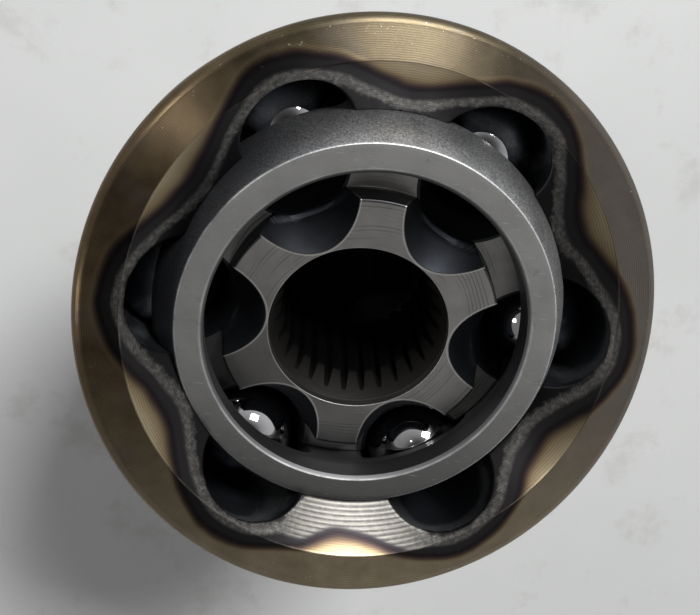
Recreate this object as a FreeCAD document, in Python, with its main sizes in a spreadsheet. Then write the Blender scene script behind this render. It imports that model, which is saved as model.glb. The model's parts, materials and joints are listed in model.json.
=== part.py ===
import FreeCAD, Part
import math
import os
import re
import Sketcher

# Fixed six-ball constant-velocity joint: a bell-shaped outer race forged in one piece
# with its stub shaft, a cage, an inner race and six balls. Millimetres, +Z up along the
# outer race's axis, origin at the centre of the stub shaft's end face, mouth upwards.
# The inner race leans by the rest angle and the cage by half of it, about +X.

DIMENSIONS = {
    # where the joint's centre is, and how the pieces lie
    "joint_height": 115.0,
    "rest_angle": 16.8,
    "track_phase": 20.0,
    "track_count": 6,
    # balls and tracks
    "ball_diameter": 17.462,
    "track_arc_radius": 31.8,
    "track_offset": 4.0,
    "track_clearance": 0.25,
    "track_lower_angle": 48.0,
    "track_upper_angle": 64.0,
    "land_clearance": 0.08,
    # bell
    "bell_diameter": 90.0,
    "rim_radius": 1.7,
    "rim_drop": 0.55,
    "mouth_height": 20.75,
    "mouth_crest_radius": 38.2,
    "mouth_cone_foot": 15.0,
    "band_foot": 6.0,
    "band_chamfer": 1.4,
    "dome_foot": 36.0,
    "dome_foot_radius": 31.0,
    "boot_groove_height": 8.5,
    "boot_groove_width": 6.5,
    "boot_groove_depth": 1.8,
    "boot_groove_slope": 0.4,
    "floor_depth": 29.5,
    "floor_recess_radius": 9.0,
    "floor_recess_depth": 3.0,
    # stub shaft
    "shoulder_depth": 42.0,
    "shoulder_radius": 29.0,
    "shoulder_chamfer": 1.0,
    "shoulder_fillet": 1.5,
    "pilot_radius": 16.0,
    "pilot_length": 6.0,
    "stub_spline_radius": 15.0,
    "stub_spline_depth": 1.1,
    "stub_spline_teeth": 30,
    "stub_spline_chamfer": 1.2,
    "stub_thread_radius": 12.0,
    "stub_thread_length": 24.0,
    "stub_thread_chamfer": 1.2,
    "stub_thread_pitch": 1.5,
    "stub_thread_depth": 0.92,
    "stub_relief_radius": 11.0,
    "stub_relief_length": 3.0,
    "stub_edge_chamfer": 0.5,
    "centre_drill_radius": 3.2,
    "centre_drill_depth": 5.5,
    # thread groove, half as wide at its root as this share of the pitch
    "thread_root_share": 0.083,
    "thread_flank_angle": 30.0,
    "thread_overcut": 0.1,
    # cage
    "cage_wall": 6.17,
    "cage_front": 18.3,
    "cage_rear": 17.5,
    "cage_front_bore": 25.1,
    "cage_rear_bore": 23.5,
    "cage_chamfer": 0.6,
    "window_clearance": 0.2,
    "window_length": 20.4,
    "window_corner": 3.0,
    # inner race
    "race_land_radius": 28.45,
    "race_front": 12.7,
    "race_rear": 12.7,
    "race_hub_radius": 22.4,
    "race_shoulder": 7.7,
    "race_edge_chamfer": 0.5,
    "race_bore_radius": 14.4,
    "race_bore_length": 1.5,
    "race_lead_in": 6.0,
    "race_rear_chamfer": 1.2,
    "race_spline_tip_radius": 12.4,
    "race_spline_depth": 1.3,
    "race_spline_teeth": 28,
    # spline tooth spaces, half as wide as these shares of the pitch
    "spline_open_share": 0.31,
    "spline_root_share": 0.11,
    "spline_overcut": 0.5,
    "relief_angle": 30.5,
    "relief_depth": 0.4,
}

doc = FreeCAD.newDocument("cv_joint")
sheet = doc.addObject("Spreadsheet::Sheet", "Dimensions")
for row, (alias, number) in enumerate(DIMENSIONS.items(), start=1):
    sheet.set(f"A{row}", alias)
    sheet.set(f"B{row}", str(number))
    sheet.setAlias(f"B{row}", alias)
doc.recompute()


def sized(formula):
    """Turn each [name] of a formula into a reference to that cell of the sheet."""
    return re.sub(r"\[(\w+)\]", r"Dimensions.\1", formula)


def value(formula):
    """Evaluate a formula as a plain number."""
    result = sheet.evalExpression(sized(formula))
    return float(getattr(result, "Value", result))


def new_body(label):
    body = doc.addObject("PartDesign::Body", label)
    body.Label = label
    return body


def new_sketch(body, name, role):
    """A sketch on one of the body's own origin planes."""
    plane = next(item for item in body.Origin.OriginFeatures if item.Role == role)
    sketch = body.newObject("Sketcher::SketchObject", name)
    sketch.AttachmentSupport = [(plane, "")]
    sketch.MapMode = "FlatFace"
    return sketch


def bind(sketch, constraint, name, formula):
    """Add a dimension to a sketch and bind it to the sheet."""
    index = sketch.addConstraint(constraint)
    sketch.renameConstraint(index, name)
    sketch.setExpression(f"Constraints.{name}", sized(formula))


def place_point(sketch, geometry, end, name, x, y):
    """Hold a point of the sketch at two formulas, measured from the sketch's origin."""
    bind(sketch, Sketcher.Constraint("DistanceX", -1, 1, geometry, end, value(x)), f"{name}_x", x)
    bind(sketch, Sketcher.Constraint("DistanceY", -1, 1, geometry, end, value(y)), f"{name}_y", y)


def draw_outline(sketch, corners):
    """Closed outline. A corner is (name, x, y), or (name, x, y, centre_y, outward) where
    the edge that follows is an arc whose centre lies at height centre_y: on the Y axis,
    or at the given x where a sixth entry names one. outward is +1 for an arc run
    anticlockwise and -1 for one run clockwise."""
    count = len(corners)
    spots = [FreeCAD.Vector(value(c[1]), value(c[2]), 0) for c in corners]
    for i, corner in enumerate(corners):
        start, end = spots[i], spots[(i + 1) % count]
        if len(corner) == 3:
            sketch.addGeometry(Part.LineSegment(start, end))
            continue
        centre_x = value(corner[5]) if len(corner) == 6 else 0.0
        centre = FreeCAD.Vector(centre_x, value(corner[3]), 0)
        circle = Part.Circle(centre, FreeCAD.Vector(0, 0, 1), start.distanceToPoint(centre))
        first, last = (start, end) if corner[4] > 0 else (end, start)
        angles = [math.atan2(p.y - centre.y, p.x - centre.x) for p in (first, last)]
        sketch.addGeometry(Part.ArcOfCircle(circle, *angles))
    for i, corner in enumerate(corners):
        after = corners[(i + 1) % count]
        leaves_by = 1 if len(corner) == 3 or corner[4] > 0 else 2
        arrives_by = 1 if len(after) == 3 or after[4] > 0 else 2
        ends_by = 3 - leaves_by
        sketch.addConstraint(
            Sketcher.Constraint("Coincident", i, ends_by, (i + 1) % count, arrives_by))
        place_point(sketch, i, leaves_by, corner[0], corner[1], corner[2])
        if len(corner) == 5:
            sketch.addConstraint(Sketcher.Constraint("PointOnObject", i, 3, -2))
        if len(corner) == 6:
            bind(sketch, Sketcher.Constraint("DistanceX", -1, 1, i, 3, value(corner[5])),
                 f"{corner[0]}_centre", corner[5])


def revolve(body, name, corners):
    """Full turn of an outline in the XZ plane about the body's Z axis."""
    sketch = new_sketch(body, f"{name}_sketch", "XZ_Plane")
    draw_outline(sketch, corners)
    solid = body.newObject("PartDesign::Revolution", name)
    solid.Profile = sketch
    solid.ReferenceAxis = (sketch, ["V_Axis"])
    solid.Angle = 360.0
    body.Tip = solid
    doc.recompute()
    return solid


def cut_and_check(body, feature):
    """Make the feature the body's tip, and stop if it took nothing away."""
    body.Tip = feature
    doc.recompute()
    if feature.Shape.isNull() or feature.Shape.Volume > feature.BaseFeature.Shape.Volume - 0.01:
        raise RuntimeError(f"{feature.Name} cuts nothing from {body.Label}")


def repeat_round_axis(body, feature, count):
    """Polar pattern of one cut about the body's Z axis."""
    axis = next(item for item in body.Origin.OriginFeatures if item.Role == "Z_Axis")
    pattern = body.newObject("PartDesign::PolarPattern", f"{feature.Name}_round")
    pattern.Originals = [feature]
    pattern.Axis = (axis, [""])
    pattern.Angle = 360.0
    pattern.setExpression("Occurrences", sized(f"[{count}]"))
    cut_and_check(body, pattern)


def cut_track(body, name, centre_height, radius, lower, sweep):
    """Tube cut along an arc in the XZ plane. The arc's centre lies on the Z axis at
    centre_height. The tube starts below the level of that centre by the angle lower and
    rises through the angle sweep."""
    sketch = new_sketch(body, f"{name}_sketch", "XY_Plane")
    sketch.AttachmentOffset = FreeCAD.Placement(
        FreeCAD.Vector(0, 0, value(centre_height)),
        FreeCAD.Rotation(FreeCAD.Vector(0, 1, 0), value(lower)))
    sketch.setExpression("AttachmentOffset.Base.z", sized(centre_height))
    sketch.setExpression("AttachmentOffset.Rotation.Angle", sized(lower))
    arc_radius = "[track_arc_radius]"
    centre = FreeCAD.Vector(value(arc_radius), 0, 0)
    sketch.addGeometry(Part.Circle(centre, FreeCAD.Vector(0, 0, 1), value(radius)))
    sketch.addConstraint(Sketcher.Constraint("PointOnObject", 0, 3, -1))
    bind(sketch, Sketcher.Constraint("DistanceX", -1, 1, 0, 3, value(arc_radius)),
         "arc_radius", arc_radius)
    bind(sketch, Sketcher.Constraint("Radius", 0, value(radius)), "tube_radius", radius)
    track = body.newObject("PartDesign::Groove", name)
    track.Profile = sketch
    track.ReferenceAxis = (sketch, ["V_Axis"])
    track.Reversed = True
    track.setExpression("Angle", sized(sweep))
    cut_and_check(body, track)
    repeat_round_axis(body, track, "track_count")


def cut_spline(body, name, open_radius, root_radius, teeth, low, length):
    """Tooth spaces from the radius where they open to the one at their roots, and from
    height low up by length. They narrow towards the root."""
    sketch = new_sketch(body, f"{name}_sketch", "XY_Plane")
    sketch.setExpression("AttachmentOffset.Base.z", sized(low))
    pitch = f"(({open_radius}) + ({root_radius})) * pi / [{teeth}]"
    half_open = f"{pitch} * [spline_open_share]"
    half_root = f"{pitch} * [spline_root_share]"
    corners = [
        ("open_low", open_radius, f"-({half_open})"),
        ("root_low", root_radius, f"-({half_root})"),
        ("root_high", root_radius, half_root),
        ("open_high", open_radius, half_open),
    ]
    draw_outline(sketch, corners)
    space = body.newObject("PartDesign::Pocket", name)
    space.Profile = sketch
    space.Reversed = True
    space.setExpression("Length", sized(length))
    cut_and_check(body, space)
    repeat_round_axis(body, space, teeth)


TRACK_RADIUS = "([ball_diameter] / 2 + [track_clearance])"
CAGE_INNER = "([race_land_radius] + [land_clearance])"
CAGE_OUTER = f"({CAGE_INNER} + [cage_wall])"
BELL_INNER = f"({CAGE_OUTER} + [land_clearance])"


def cut_thread(body, name, radius, low, length):
    """Right-handed thread on a shaft of that radius, from one pitch below the height low
    up by length."""
    sketch = new_sketch(body, f"{name}_sketch", "XZ_Plane")
    pitch = "[stub_thread_pitch]"
    root = f"{radius} - [stub_thread_depth]"
    mouth = f"{radius} + [thread_overcut]"
    middle = f"{low} - {pitch}"
    half_root = f"{pitch} * [thread_root_share]"
    half_mouth = (f"({half_root} + ([stub_thread_depth] + [thread_overcut])"
                  " * tan([thread_flank_angle]))")
    draw_outline(sketch, [
        ("root_low", root, f"{middle} - {half_root}"),
        ("mouth_low", mouth, f"{middle} - {half_mouth}"),
        ("mouth_high", mouth, f"{middle} + {half_mouth}"),
        ("root_high", root, f"{middle} + {half_root}"),
    ])
    thread = body.newObject("PartDesign::SubtractiveHelix", name)
    thread.Profile = sketch
    thread.ReferenceAxis = (sketch, ["V_Axis"])
    thread.Mode = "pitch-height-angle"
    thread.setExpression("Pitch", sized(pitch))
    thread.setExpression("Height", sized(length))
    cut_and_check(body, thread)


def on_sphere(radius, height):
    """Distance from the axis of a sphere's surface at a height above its centre."""
    return f"sqrt(({radius})^2 - ({height})^2)"


def build_outer_race():
    """Bell and stub shaft in one piece, turned from one profile, then cut with the six
    ball tracks and the spline and thread of the stub."""
    body = new_body("outer_race")
    joint = "[joint_height]"
    bell = "[bell_diameter] / 2"
    thread_top = "[stub_thread_length]"
    edge = "[stub_edge_chamfer]"
    spline_low = f"{thread_top} + [stub_relief_length]"
    shoulder = f"{joint} - [shoulder_depth]"
    pilot_low = f"{shoulder} - [pilot_length]"
    band_low = f"{joint} - [band_foot]"
    dome_top_radius = f"{bell} - [band_chamfer]"
    dome_top = f"{joint} - [band_foot] - [band_chamfer]"
    dome_low = f"{joint} - [dome_foot]"
    # height of the dome's centre, the same distance from both its ends
    dome_centre = (f"(({dome_top_radius})^2 - [dome_foot_radius]^2 + ({dome_top})^2"
                   f" - ({dome_low})^2) / (2 * (({dome_top}) - ({dome_low})))")
    groove_mid = f"{joint} + [boot_groove_height]"
    groove_low = f"{groove_mid} - [boot_groove_width] / 2"
    groove_high = f"{groove_mid} + [boot_groove_width] / 2"
    groove_radius = f"{bell} - [boot_groove_depth]"
    rim = f"{joint} + [mouth_height] - [rim_drop]"
    cone_foot = f"{joint} + [mouth_cone_foot]"
    floor = f"{joint} - [floor_depth]"
    revolve(body, "forging", [
        ("drill_tip", "0", "[centre_drill_depth]"),
        ("drill_edge", "[centre_drill_radius]", "0"),
        ("end_edge", "[stub_thread_radius] - [stub_thread_chamfer]", "0"),
        ("thread_low", "[stub_thread_radius]", "[stub_thread_chamfer]"),
        ("thread_high", "[stub_thread_radius]", f"{thread_top} - {edge}"),
        ("relief_low", "[stub_relief_radius]", f"{thread_top} + {edge}"),
        ("relief_high", "[stub_relief_radius]", spline_low),
        ("spline_end", "[stub_spline_radius] - [stub_spline_chamfer]", spline_low),
        ("spline_low", "[stub_spline_radius]", f"{spline_low} + [stub_spline_chamfer]"),
        ("spline_high", "[stub_spline_radius]", pilot_low),
        ("pilot_edge", f"[pilot_radius] - {edge}", pilot_low),
        ("pilot_low", "[pilot_radius]", f"{pilot_low} + {edge}"),
        ("pilot_high", "[pilot_radius]", f"{shoulder} - [shoulder_fillet]",
         f"{shoulder} - [shoulder_fillet]", -1, "[pilot_radius] + [shoulder_fillet]"),
        ("shoulder_inner", "[pilot_radius] + [shoulder_fillet]", shoulder),
        ("shoulder_outer", "[shoulder_radius] - [shoulder_chamfer]", shoulder),
        ("shoulder_edge", "[shoulder_radius]", f"{shoulder} + [shoulder_chamfer]"),
        ("shoulder_top", "[shoulder_radius]", f"{dome_low} - [shoulder_chamfer]"),
        ("dome_low", "[dome_foot_radius]", dome_low, dome_centre, 1),
        ("dome_top", dome_top_radius, dome_top),
        ("band_low", bell, band_low),
        ("groove_under", bell, groove_low),
        ("groove_low", groove_radius, f"{groove_low} + [boot_groove_slope]"),
        ("groove_high", groove_radius, f"{groove_high} - [boot_groove_slope]"),
        ("groove_over", bell, groove_high),
        ("rim_side", bell, f"{rim} - [rim_radius]",
         f"{rim} - [rim_radius]", 1, f"{bell} - [rim_radius]"),
        ("rim_top", f"{bell} - [rim_radius]", rim),
        ("mouth_crest", "[mouth_crest_radius]", f"{joint} + [mouth_height]"),
        ("cone_foot", on_sphere(BELL_INNER, "[mouth_cone_foot]"), cone_foot, joint, -1),
        ("floor_edge", on_sphere(BELL_INNER, "[floor_depth]"), floor),
        ("recess_edge", "[floor_recess_radius]", floor),
        ("recess_centre", "0", f"{floor} - [floor_recess_depth]"),
    ])
    cut_track(body, "ball_track", f"{joint} + [track_offset]", TRACK_RADIUS,
              "[track_lower_angle]", "[track_lower_angle] + [track_upper_angle]")
    cut_spline(body, "stub_spline", "[stub_spline_radius] + [spline_overcut]",
               "[stub_spline_radius] - [stub_spline_depth]", "stub_spline_teeth",
               spline_low, f"({pilot_low}) - ({spline_low})")
    cut_thread(body, "stub_thread", "[stub_thread_radius]", "0",
               f"{thread_top} + [stub_relief_length] / 2 + [stub_thread_pitch]")
    return body


def build_cage():
    """Spherical ring between the races, with a window for each ball. Its centre is the
    joint's centre and its front faces +Z."""
    body = new_body("cage")
    chamfer = "[cage_chamfer]"
    revolve(body, "ring", [
        ("rear_inner", f"[cage_rear_bore] + {chamfer}", "-[cage_rear]"),
        ("rear_outer", on_sphere(CAGE_OUTER, "[cage_rear]"), "-[cage_rear]", "0", 1),
        ("front_outer", on_sphere(CAGE_OUTER, "[cage_front]"), "[cage_front]"),
        ("front_inner", f"[cage_front_bore] + {chamfer}", "[cage_front]"),
        ("front_bore", "[cage_front_bore]", f"[cage_front] - {chamfer}"),
        ("seat_front", "[cage_front_bore]", on_sphere(CAGE_INNER, "[cage_front_bore]"),
         "0", -1),
        ("seat_rear", "[cage_rear_bore]", f"-{on_sphere(CAGE_INNER, '[cage_rear_bore]')}"),
        ("rear_bore", "[cage_rear_bore]", f"-[cage_rear] + {chamfer}"),
    ])
    half_length = "[window_length] / 2"
    half_width = "([ball_diameter] / 2 + [window_clearance])"
    corner = "[window_corner]"
    sketch = new_sketch(body, "window_sketch", "YZ_Plane")
    inner_y, inner_z = f"{half_length} - {corner}", f"{half_width} - {corner}"
    draw_outline(sketch, [
        ("low_left", f"-({inner_y})", f"-{half_width}"),
        ("low_right", inner_y, f"-{half_width}", f"-({inner_z})", 1, inner_y),
        ("right_low", half_length, f"-({inner_z})"),
        ("right_high", half_length, inner_z, inner_z, 1, inner_y),
        ("high_right", inner_y, half_width),
        ("high_left", f"-({inner_y})", half_width, inner_z, 1, f"-({inner_y})"),
        ("left_high", f"-({half_length})", inner_z),
        ("left_low", f"-({half_length})", f"-({inner_z})", f"-({inner_z})", 1,
         f"-({inner_y})"),
    ])
    window = body.newObject("PartDesign::Pocket", "window")
    window.Profile = sketch
    window.Reversed = True
    window.setExpression("Length", sized(f"{CAGE_OUTER} + 1"))
    cut_and_check(body, window)
    repeat_round_axis(body, window, "track_count")
    return body


def build_inner_race():
    """Star-shaped race with a splined bore. Its centre is the joint's centre and its
    front, which the drive shaft leaves by, faces +Z."""
    body = new_body("inner_race")
    front, rear = "[race_front]", "[race_rear]"
    edge = "[race_edge_chamfer]"
    bore, tip = "[race_bore_radius]", "[race_spline_tip_radius]"
    chamfer = "[race_rear_chamfer]"
    lead_high = f"{front} - [race_bore_length]"
    revolve(body, "blank", [
        ("bore_rear", tip, f"-{rear} + {chamfer}"),
        ("bore_mouth_rear", f"{tip} + {chamfer}", f"-{rear}"),
        ("rear_edge", on_sphere("[race_land_radius]", rear), f"-{rear}", "0", 1),
        ("land_front", on_sphere("[race_land_radius]", "[race_shoulder]"),
         "[race_shoulder]"),
        ("hub_foot", "[race_hub_radius]", "[race_shoulder]"),
        ("hub_side", "[race_hub_radius]", f"{front} - {edge}"),
        ("hub_edge", f"[race_hub_radius] - {edge}", front),
        ("bore_mouth", bore, front),
        ("lead_high", bore, lead_high),
        ("lead_low", tip, f"{lead_high} - [race_lead_in]"),
    ])
    cut_track(body, "ball_track", "-[track_offset]", TRACK_RADIUS,
              "[track_lower_angle]", "[track_lower_angle] + [track_upper_angle]")
    cut_track(body, "track_relief", "-[track_offset]", f"{TRACK_RADIUS} + [relief_depth]",
              "-[relief_angle]", "[track_upper_angle] - [relief_angle]")
    cut_spline(body, "bore_spline", f"{tip} - [spline_overcut]", f"{tip} + [race_spline_depth]",
               "race_spline_teeth", f"-{rear}", f"{rear} + {lead_high}")
    return body


def ball_centre(number):
    """Where a ball lies at rest, measured from the joint's centre. Both tracks and the
    cage's middle plane, which halves the rest angle, meet there."""
    half = math.radians(value("[rest_angle]")) / 2
    turn = math.radians(value(f"[track_phase] + 360 / [track_count] * {number}"))
    around = math.atan2(math.sin(turn) / math.cos(half), math.cos(turn))
    arc, offset = value("[track_arc_radius]"), value("[track_offset]")
    lift = math.sin(around) * math.sin(half)
    # the distance d from the centre solves d^2 - 2 offset lift d = arc^2 - offset^2
    distance = offset * lift + math.sqrt((offset * lift) ** 2 + arc ** 2 - offset ** 2)
    across = distance * math.sin(around)
    return FreeCAD.Vector(distance * math.cos(around), across * math.cos(half),
                          across * math.sin(half))


def build_ball(number):
    ball = doc.addObject("Part::Sphere", f"ball_{number + 1}")
    ball.Label = f"ball_{number + 1}"
    ball.setExpression("Radius", sized("[ball_diameter] / 2"))
    return ball


joint_centre = FreeCAD.Vector(0, 0, value("[joint_height]"))
to_first_track = FreeCAD.Rotation(FreeCAD.Vector(0, 0, 1), value("[track_phase]"))


def leaning(angle):
    """Placement at the joint's centre, leaning by an angle about +X."""
    lean = FreeCAD.Rotation(FreeCAD.Vector(1, 0, 0), angle)
    return FreeCAD.Placement(joint_centre, lean * to_first_track)


outer_race = build_outer_race()
outer_race.Placement = FreeCAD.Placement(FreeCAD.Vector(), to_first_track)
cage = build_cage()
cage.Placement = leaning(value("[rest_angle]") / 2)
inner_race = build_inner_race()
inner_race.Placement = leaning(value("[rest_angle]"))
balls = [build_ball(number) for number in range(int(value("[track_count]")))]
for number, ball in enumerate(balls):
    ball.Placement = FreeCAD.Placement(joint_centre + ball_centre(number),
                                       FreeCAD.Rotation())
doc.recompute()

for item in doc.Objects:
    if "Invalid" in item.State or "Error" in item.State:
        raise RuntimeError(f"{item.Label} failed: {item.State}")

os.makedirs("parts", exist_ok=True)
for piece in [outer_race, cage, inner_race] + balls:
    if piece.Shape.isNull() or not piece.Shape.isValid():
        raise RuntimeError(f"{piece.Label} has no valid shape")
    piece.Shape.exportStep(f"parts/{piece.Label}.step")
    print(piece.Label, round(piece.Shape.Volume), "mm3", len(piece.Shape.Solids), "solid")
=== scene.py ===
import json
import math
import bmesh
import bpy
import numpy as np
from mathutils import Matrix, Vector


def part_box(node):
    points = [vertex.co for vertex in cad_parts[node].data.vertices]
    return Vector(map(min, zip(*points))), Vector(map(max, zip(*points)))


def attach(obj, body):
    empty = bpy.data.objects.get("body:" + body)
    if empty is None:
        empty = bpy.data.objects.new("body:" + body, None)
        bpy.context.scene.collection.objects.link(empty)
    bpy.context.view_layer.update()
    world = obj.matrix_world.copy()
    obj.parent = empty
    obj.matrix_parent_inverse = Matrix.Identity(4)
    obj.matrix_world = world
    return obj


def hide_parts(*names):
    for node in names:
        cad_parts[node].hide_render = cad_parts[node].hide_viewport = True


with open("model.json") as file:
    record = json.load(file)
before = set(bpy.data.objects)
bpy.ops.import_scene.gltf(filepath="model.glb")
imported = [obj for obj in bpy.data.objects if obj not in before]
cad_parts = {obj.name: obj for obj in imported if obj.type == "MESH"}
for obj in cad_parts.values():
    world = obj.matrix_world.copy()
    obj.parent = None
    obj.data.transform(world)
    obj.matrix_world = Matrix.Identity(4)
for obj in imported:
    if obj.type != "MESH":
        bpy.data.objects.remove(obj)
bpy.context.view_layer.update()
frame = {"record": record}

# Constant-velocity joint: a bell on its stub shaft, a cage, a star and six balls, all of steel.
# Sizes are in millimetres and measured from the joint's centre along each piece's own axis, and
# angles are in radians, or in degrees where a name ends in DEG. Lights and floor are in metres.

MM = 0.001
RECORD = frame["record"]
JOINTS = {j["name"]: j for j in RECORD["behaviour"]["joints"]}
MOUNTS = {m["name"]: m for m in RECORD["mounts"]}
CENTRE = Vector(JOINTS["articulation"]["pos_m"])
CENTRE_HEIGHT = CENTRE.z / MM
SHAFT_AXIS = Vector(MOUNTS["shaft_bore"]["axis"])
REST_LEAN = math.atan2(-SHAFT_AXIS.y, SHAFT_AXIS.z)

# ball tracks
TRACKS = 6
SECTOR = 2 * math.pi / TRACKS
TRACK_PHASE = math.radians(20.0)
TRACK_ARC = 31.8
TRACK_OFFSET = 4.0
TRACK_PLAY = 0.25
TRACK_LOW_ANGLE = math.radians(-48.0)
BALL_RADIUS = 8.731
BALL_DIVISIONS = 5
TUBE_RADIUS = BALL_RADIUS + TRACK_PLAY
# a radius that no tube's wall reaches, one beyond every piece, and the halvings between
WALL_LIMIT = 60.0
FAR = 100.0
HALVINGS = 34
# how near a wall has to be for its edge to be rounded
EDGE_REACH = 3

# bell, from the middle of its floor over the mouth to the pilot
BELL_COLUMNS = 960
FLOOR_MIDDLE = 32.5
FLOOR_FLAT = 9
FLOOR_DEPTH = 29.5
FLOOR_ROUND = 1.0
BELL_LAND = 34.78
CONE_FOOT = 15.0
CREST_RADIUS = 38.2
CREST_HEIGHT = 20.75
CREST_ROUND = 0.35
RIM_HEIGHT = 20.2
RIM_ROUND = 1.7
RIM_START_DEG = 84
BELL_RADIUS = 45.0
BELL_TRACK_EDGE = 0.25
EDGE_ROUND = 0.3
GROOVE_RADIUS = 43.2
GROOVE_HIGH = 11.75
GROOVE_FLOOR_HIGH = 11.35
GROOVE_FLOOR_LOW = 5.65
GROOVE_LOW = 5.25
TURNED_LOW = -6
TURNED_FOOT = (43.6, -7.4)
DOME_TOP = (43.5, -8.6)
DOME_RADIUS = 43.6
DOME_CENTRE = -5.343
DOME_HIGH_DEG = -4.5
DOME_LOW_DEG = -44.7
HUB_RADIUS = 29
HUB_HIGH = -37
HUB_CHAMFER = 1
HUB_ROUND = 0.4
SHOULDER_DEPTH = 42
PILOT_RADIUS = 16
PILOT_END = 48.0
PILOT_FLARE = 1.5
PILOT_FLARE_ROUND = 0.6
PILOT_CHAMFER = 0.5
PILOT_ROUND = 0.2

# stub shaft, from inside the pilot to its lower end
STUB_TEETH = 30
STUB_TOOTH_COLUMNS = 20
STUB_OVERLAP = 0.5
STUB_SPLINE = 15.0
STUB_SPLINE_ROOT = 13.9
STUB_SPLINE_LOW = 27.0
STUB_SPLINE_CHAMFER = 1.2
STUB_SPACE = (0.116, 0.243)
STUB_ROUND = 0.2
RELIEF_RADIUS = 11.0
THREAD_LENGTH = 24.5
THREAD_FULL = 23.5
THREAD_CHAMFER = 1.2
THREAD_END_RADIUS = 10.8
THREAD_RADIUS = 12.0
THREAD_PITCH = 1.5
THREAD_DEPTH = 0.92
THREAD_ROOT_HALF = 0.1245
THREAD_FLANK_DEG = 30
THREAD_STEP = 0.1
DRILL_RADIUS = 3.2
DRILL_DEPTH = 5.5
DRILL_ROUND = 0.2
STUB_SHARP_DEG = 50

# cage
CAGE_COLUMNS = 360
CAGE_OUTER = 34.7
CAGE_INNER = 28.53
CAGE_FRONT = 18.3
CAGE_REAR = 17.5
CAGE_FRONT_BORE = 25.1
CAGE_REAR_BORE = 23.5
CAGE_CHAMFER = 0.6
CAGE_BORE_ROUND = 0.15
CAGE_SHARP_DEG = 35
WINDOW_LENGTH = 20.4
WINDOW_HALF = BALL_RADIUS + 0.2
WINDOW_CORNER = 3.0
WINDOW_CUT = (24, 38)
CORNER_PIECES = 6

# inner race, a star. Its two profiles meet on the faces, at the seam radii.
RACE_COLUMNS = 1120
RACE_LAND = 28.45
RACE_LAND_ROUND = 0.25
RACE_FRONT = 12.7
RACE_FRONT_SEAM = 14.9
RACE_REAR_SEAM = 15.5
RACE_SHOULDER = 7.7
RACE_SHOULDER_ROUND = 0.2
RACE_HUB = 22.4
RACE_HUB_ROUND = 0.35
RACE_BORE = 14.4
RACE_BORE_ROUND = 0.12
RACE_BORE_LENGTH = 1.5
RACE_LEAD_IN = 6.0
RACE_REAR_CHAMFER = 1.2
RACE_TIP = 12.4
RACE_TIP_ROUND = 0.1
RACE_ROOT = 13.7
RACE_TEETH = 28
RACE_SPACE = (0.103, 0.263)
RACE_REAR_ROUND = 0.2
RACE_TRACK_EDGE = 0.22
RACE_RELIEF_DEPTH = 0.4
RACE_RELIEF_START = math.radians(30.5)
RACE_RELIEF_RUN = math.radians(0.8)
RACE_SHARP_DEG = 40

# meshing: share of a side that a rounding may take, and metres between points that are welded
MOST_ROUNDED = 0.45
WELD = 2e-6
TINY = 1e-6


# ---------------------------------------------------------------- profiles
# A profile is a line of (radius, height) points, a corner also has a rounding radius. A step is
# the longest edge that the mesh may have along a profile.

def arc(centre, radius, start, end, step):
    """Points along an arc, from one angle to another, in degrees."""
    count = max(2, int(abs(math.radians(end - start)) * radius / step) + 1)
    angles = np.radians(np.linspace(start, end, count))
    return [(centre[0] + radius * math.cos(a), centre[1] + radius * math.sin(a)) for a in angles]


def sphere_arc(radius, low, high, step):
    """Points of a circle about the origin between two heights, on the +r side."""
    return arc((0, 0), radius, math.degrees(math.asin(low / radius)),
               math.degrees(math.asin(high / radius)), step)


def rounded(corners, step, bend=3):
    """Polyline through corners, each rounding in bend pieces. Straight runs are divided
    into pieces no longer than step."""
    points = []
    count = len(corners)
    for i, corner in enumerate(corners):
        here = np.array(corner[:2], float)
        size = corner[2] if len(corner) > 2 else 0.0
        if size == 0.0 or i in (0, count - 1):
            points.append(here)
            continue
        before = np.array(corners[i - 1][:2], float) - here
        after = np.array(corners[i + 1][:2], float) - here
        a, b = before / np.linalg.norm(before), after / np.linalg.norm(after)
        half = math.acos(max(-1.0, min(1.0, float(a @ b)))) / 2
        reach = min(size / math.tan(half), MOST_ROUNDED * np.linalg.norm(before),
                    MOST_ROUNDED * np.linalg.norm(after))
        start, end = here + a * reach, here + b * reach
        for k in range(bend + 1):
            u = k / bend
            points.append((1 - u) ** 2 * start + 2 * u * (1 - u) * here + u ** 2 * end)
    line = [points[0]]
    for p in points[1:]:
        gap = np.linalg.norm(p - line[-1])
        pieces = max(1, int(math.ceil(gap / step - TINY)))
        start = line[-1]
        for k in range(1, pieces + 1):
            line.append(start + (p - start) * k / pieces)
    return np.array(line)


def around(columns):
    """Azimuth of every column of a round mesh."""
    return np.linspace(0, 2 * math.pi, columns, endpoint=False)


def swept(profile, columns):
    """Radii and heights of a profile, the same in every column."""
    return tuple(np.repeat(profile[:, k:k + 1], columns, axis=1) for k in (0, 1))


# ---------------------------------------------------------------- ball tracks

def tube_radius(turn, height, side, arc_height, tube):
    """Distance from the axis to a track tube's wall, for every azimuth and height. side
    is +1 for the wall away from the axis, -1 for the near one. NaN where there is none."""
    rise = height - arc_height
    reach = np.sqrt(np.maximum(TRACK_ARC ** 2 - rise ** 2, 0.0))

    def outside(r):
        along, across = r * np.cos(turn), r * np.sin(turn)
        return (np.sqrt(along ** 2 + rise ** 2) - TRACK_ARC) ** 2 + across ** 2 - tube ** 2

    inner = reach * np.cos(turn)
    outer = np.full_like(inner, WALL_LIMIT if side > 0 else 0.0)
    for _ in range(HALVINGS):
        middle = (inner + outer) / 2
        within = outside(middle) < 0
        inner = np.where(within, middle, inner)
        outer = np.where(within, outer, middle)
    missing = outside(reach * np.cos(turn)) >= 0
    low = np.arctan2(rise, inner * np.cos(turn)) < TRACK_LOW_ANGLE
    return np.where(missing | low, np.nan, inner)


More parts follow.
